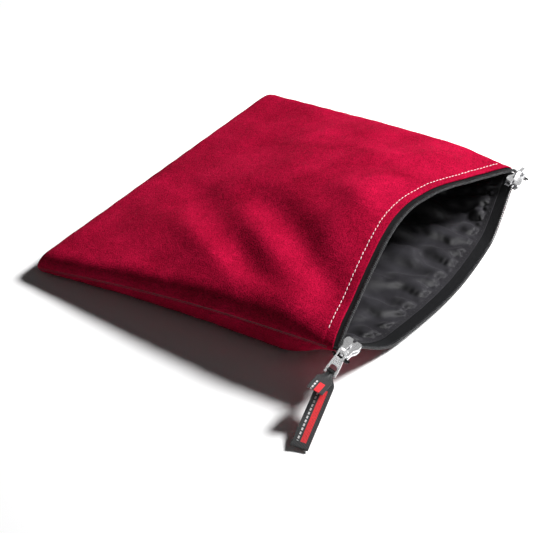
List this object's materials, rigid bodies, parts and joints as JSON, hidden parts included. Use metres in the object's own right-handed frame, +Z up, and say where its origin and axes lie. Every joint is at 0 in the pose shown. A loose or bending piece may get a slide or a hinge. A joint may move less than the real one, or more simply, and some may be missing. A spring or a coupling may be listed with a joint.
{
  "type": "flat zip pouch",
  "caption": "Flat two-panel suede pouch lying with its mouth open, with a nylon lining, a coil zip with a slider at each corner, and a ribbon pull.",
  "frame": {"origin": "on the surface the pouch lies on, under the middle of its plan", "axes": "+Z up; +X along the zip, from the corner with the ribbon to the other one; -Y out of the mouth, +Y towards the sewn closed end"},
  "size_m": [0.3021, 0.2358, 0.0581],
  "materials": {
    "suede": "crimson suede with a short nap",
    "lining": "glossy coated nylon, crinkled",
    "tape": "woven zip tape",
    "coil": "polyester coil",
    "white_thread": "sewing thread",
    "black_thread": "sewing thread",
    "red_thread": "sewing thread",
    "chrome": "polished plating",
    "ribbon": "woven twill ribbon with a printed band"
  },
  "bodies": {
    "pouch": {"shell_top": "suede", "shell_bottom": "suede", "lining_top": "lining", "lining_bottom": "lining", "seam_thread_near": "red_thread", "seam_thread_far": "red_thread", "seam_thread_end": "red_thread", "zip_end_near": "tape", "zip_end_far": "tape", "bartack_near": "black_thread", "bartack_far": "black_thread"},
    "mouth_top": {"zip_tape_top": "tape", "zip_coil_top": "coil", "topstitch_top": "white_thread", "lining_stitch_top": "black_thread"},
    "mouth_low": {"zip_tape_bottom": "tape", "zip_coil_bottom": "coil", "topstitch_bottom": "white_thread", "lining_stitch_bottom": "black_thread"},
    "slider_near": {"slider_near_body": "chrome", "slider_near_bridge": "chrome"},
    "pull_near": {"pull_tab_near": "chrome"},
    "ribbon": {"ribbon_pull": "ribbon"},
    "slider_far": {"slider_far_body": "chrome", "slider_far_bridge": "chrome"},
    "pull_far": {"pull_tab_far": "chrome"}
  },
  "joints": [
    {"name": "slider_near_slide", "type": "slide", "parent": "pouch", "child": "slider_near", "axis": [1, 0, 0], "range_m": [0, 0.1002], "deforming": ["zip_end_near", "bartack_near"]},
    {"name": "slider_far_slide", "type": "slide", "parent": "pouch", "child": "slider_far", "axis": [-1, 0, 0], "range_m": [0, 0.1002], "deforming": ["zip_end_far", "bartack_far"]},
    {"name": "mouth_top_close", "type": "slide", "parent": "pouch", "child": "mouth_top", "axis": [0, -0.6612, -0.7502], "range_m": [0, 0.03146], "deforming": ["zip_tape_top", "zip_coil_top", "topstitch_top", "lining_stitch_top"]},
    {"name": "mouth_low_close", "type": "slide", "parent": "pouch", "child": "mouth_low", "axis": [0, 0.4821, 0.8761], "range_m": [0, 0.03008], "deforming": ["zip_tape_bottom", "zip_coil_bottom", "topstitch_bottom", "lining_stitch_bottom"]},
    {"name": "pull_near_hinge", "type": "hinge", "parent": "slider_near", "child": "pull_near", "pos_m": [-0.11335, -0.11391, 0.03156], "axis": [0, 0.9703, 0.2419], "range_deg": [0, 150]},
    {"name": "pull_far_hinge", "type": "hinge", "parent": "slider_far", "child": "pull_far", "pos_m": [0.11335, -0.11391, 0.03156], "axis": [0, -0.9703, -0.2419], "range_deg": [0, 190]},
    {"name": "ribbon_hinge", "type": "hinge", "parent": "pull_near", "child": "ribbon", "pos_m": [-0.12267, -0.11122, 0.02078], "axis": [0, 0.9703, 0.2419], "range_deg": [0, 25]}
  ],
  "couplings": [
    {"joint": "slider_far_slide", "follows": "slider_near_slide", "ratio": 1},
    {"joint": "mouth_top_close", "follows": "slider_near_slide", "ratio": 0.3138},
    {"joint": "mouth_low_close", "follows": "slider_near_slide", "ratio": 0.3}
  ]
}
